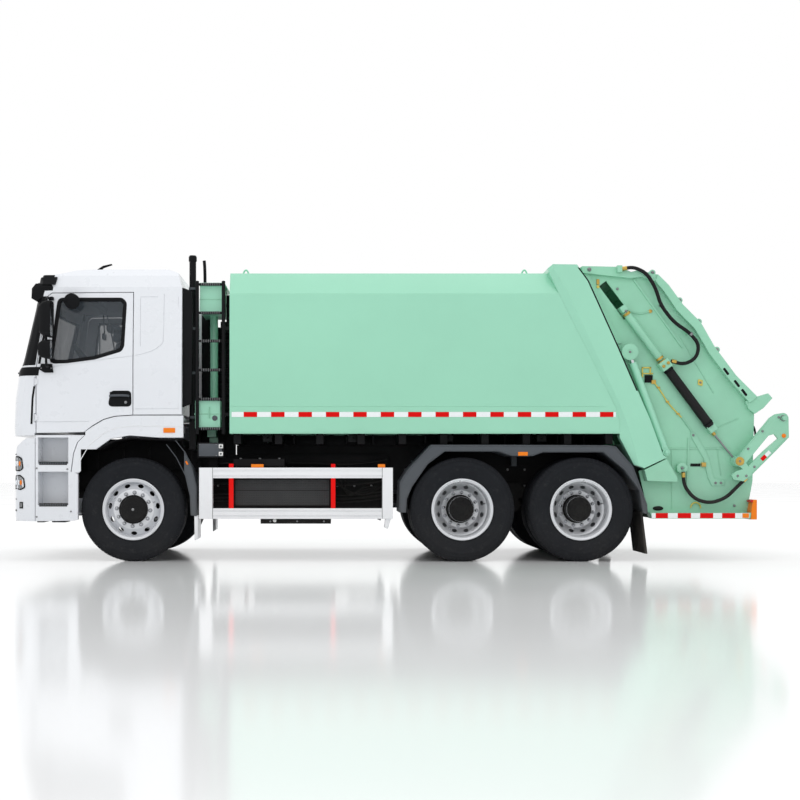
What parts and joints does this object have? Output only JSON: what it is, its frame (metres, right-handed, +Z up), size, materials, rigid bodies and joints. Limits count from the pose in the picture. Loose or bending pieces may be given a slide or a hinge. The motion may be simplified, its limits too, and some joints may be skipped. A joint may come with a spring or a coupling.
{
  "type": "garbage truck",
  "caption": "Rear-loading garbage truck with tilt cab, steerable front wheels, driven tandem axles, compactor body, lifting tailgate, packer and bin lifter arms.",
  "frame": {"origin": "centre of the bounding box in plan, on the floor under the tyres", "axes": "+X along the truck towards the tailgate, so it drives towards -X; +Y to its right-hand side; +Z up"},
  "size_m": [8.671, 3, 3.44],
  "materials": {
    "body_green": "satin",
    "cab_white": "gloss",
    "chassis_black": "satin",
    "dark_grey": "matt",
    "guard_grey": "matt",
    "wheel_silver": "satin",
    "tyre_rubber": "matt",
    "flap_rubber": "matt",
    "cab_glass": "clear",
    "lamp_clear": "clear",
    "lamp_red": "gloss",
    "post_red": "gloss",
    "trim_black": "satin",
    "seat_fabric": "woven"
  },
  "bodies": {
    "chassis": {"frame_rails": "chassis_black", "subframe": "chassis_black", "front_axle": "chassis_black", "leaf_springs": "chassis_black", "rear_axles": "chassis_black", "powertrain": "dark_grey", "tanks": "dark_grey", "side_boxes": "dark_grey", "bumper": "cab_white", "headlamps": "lamp_clear", "cab_steps": "cab_white", "mudguards": "guard_grey", "mud_flaps": "flap_rubber", "side_guards": "cab_white", "guard_posts": "post_red", "ladder": "chassis_black", "intake_stack": "chassis_black", "hydraulic_tanks": "body_green", "rear_cabinet": "dark_grey", "body_shell": "body_green", "rear_frame": "body_green"},
    "ejector": {"ejector": "body_green"},
    "cab": {"cab_shell": "cab_white", "windscreen": "cab_glass", "grille": "trim_black", "sun_visor": "trim_black", "dash": "trim_black", "seats": "seat_fabric", "cab_extenders": "trim_black"},
    "door_left": {"door_left": "cab_white", "door_glass_left": "cab_glass", "mirror_left": "trim_black"},
    "door_right": {"door_right": "cab_white", "door_glass_right": "cab_glass", "mirror_right": "trim_black"},
    "knuckle_left": {"knuckle_left": "chassis_black"},
    "knuckle_right": {"knuckle_right": "chassis_black"},
    "tailgate": {"gate_sides": "body_green", "gate_hood": "body_green", "hopper": "body_green", "tail_lamps": "lamp_red", "hoses": "flap_rubber", "packer_barrels": "chassis_black"},
    "carriage": {"packer_carriage": "body_green"},
    "blade": {"packer_blade": "body_green"},
    "lifter": {"lifter_arms": "body_green"},
    "lift_ram_barrels": {"ram_barrels": "body_green"},
    "lift_ram_rods": {"ram_rods": "body_green"},
    "front_wheel_left": {"tyre_front_left": "tyre_rubber", "wheel_front_left": "wheel_silver"},
    "rear_wheel_1_left": {"tyres_rear_1_left": "tyre_rubber", "wheel_rear_1_left": "wheel_silver"},
    "rear_wheel_2_left": {"tyres_rear_2_left": "tyre_rubber", "wheel_rear_2_left": "wheel_silver"},
    "front_wheel_right": {"tyre_front_right": "tyre_rubber", "wheel_front_right": "wheel_silver"},
    "rear_wheel_1_right": {"tyres_rear_1_right": "tyre_rubber", "wheel_rear_1_right": "wheel_silver"},
    "rear_wheel_2_right": {"tyres_rear_2_right": "tyre_rubber", "wheel_rear_2_right": "wheel_silver"}
  },
  "joints": [
    {"name": "cab_tilt", "type": "hinge", "parent": "chassis", "child": "cab", "pos_m": [-4.09, 0, 0.9], "axis": [0, -1, 0], "range_deg": [0, 50]},
    {"name": "door_left_hinge", "type": "hinge", "parent": "cab", "child": "door_left", "pos_m": [-4.055, -1.245, 2], "axis": [0, 0, -1], "range_deg": [0, 70]},
    {"name": "door_right_hinge", "type": "hinge", "parent": "cab", "child": "door_right", "pos_m": [-4.055, 1.245, 2], "axis": [0, 0, 1], "range_deg": [0, 70]},
    {"name": "steer_left", "type": "hinge", "parent": "chassis", "child": "knuckle_left", "pos_m": [-2.978, -0.88, 0.58], "axis": [0, 0, 1], "range_deg": [-35, 35]},
    {"name": "front_wheel_left_spin", "type": "hinge", "parent": "knuckle_left", "child": "front_wheel_left", "pos_m": [-2.978, -1.045, 0.58], "axis": [0, 1, 0], "continuous": true},
    {"name": "rear_wheel_1_left_spin", "type": "hinge", "parent": "chassis", "child": "rear_wheel_1_left", "pos_m": [0.69, -0.925, 0.58], "axis": [0, 1, 0], "continuous": true},
    {"name": "rear_wheel_2_left_spin", "type": "hinge", "parent": "chassis", "child": "rear_wheel_2_left", "pos_m": [2.01, -0.925, 0.58], "axis": [0, 1, 0], "continuous": true},
    {"name": "steer_right", "type": "hinge", "parent": "chassis", "child": "knuckle_right", "pos_m": [-2.978, 0.88, 0.58], "axis": [0, 0, 1], "range_deg": [-35, 35]},
    {"name": "front_wheel_right_spin", "type": "hinge", "parent": "knuckle_right", "child": "front_wheel_right", "pos_m": [-2.978, 1.045, 0.58], "axis": [0, 1, 0], "continuous": true},
    {"name": "rear_wheel_1_right_spin", "type": "hinge", "parent": "chassis", "child": "rear_wheel_1_right", "pos_m": [0.69, 0.925, 0.58], "axis": [0, 1, 0], "continuous": true},
    {"name": "rear_wheel_2_right_spin", "type": "hinge", "parent": "chassis", "child": "rear_wheel_2_right", "pos_m": [2.01, 0.925, 0.58], "axis": [0, 1, 0], "continuous": true},
    {"name": "tailgate_hinge", "type": "hinge", "parent": "chassis", "child": "tailgate", "pos_m": [2.02, 0, 3.3], "axis": [0, -1, 0], "range_deg": [0, 65]},
    {"name": "lift_ram_swing", "type": "hinge", "parent": "chassis", "child": "lift_ram_barrels", "pos_m": [2.965, 0, 1.22], "axis": [0, 1, 0], "range_deg": [0, 24.9]},
    {"name": "lift_ram_stroke", "type": "slide", "parent": "lift_ram_barrels", "child": "lift_ram_rods", "axis": [-0.3457, 0, 0.9384], "range_m": [0, 0.981]},
    {"name": "packer_slide", "type": "slide", "parent": "tailgate", "child": "carriage", "axis": [-0.5968, 0, 0.8024], "range_m": [0, 0.3]},
    {"name": "blade_hinge", "type": "hinge", "parent": "carriage", "child": "blade", "pos_m": [3.28, 0, 1.26], "axis": [0, -1, 0], "range_deg": [0, 75]},
    {"name": "lifter_hinge", "type": "hinge", "parent": "tailgate", "child": "lifter", "pos_m": [3.766, 0, 1.117], "axis": [0, -1, 0], "range_deg": [0, 85]},
    {"name": "ejector_slide", "type": "slide", "parent": "chassis", "child": "ejector", "axis": [1, 0, 0], "range_m": [0, 3.1]}
  ],
  "couplings": [
    {"joint": "steer_right", "follows": "steer_left", "ratio": 1},
    {"joint": "lift_ram_swing", "follows": "tailgate_hinge", "ratio": 0.37539},
    {"joint": "lift_ram_stroke", "follows": "tailgate_hinge", "m_per_rad": 0.86017}
  ]
}
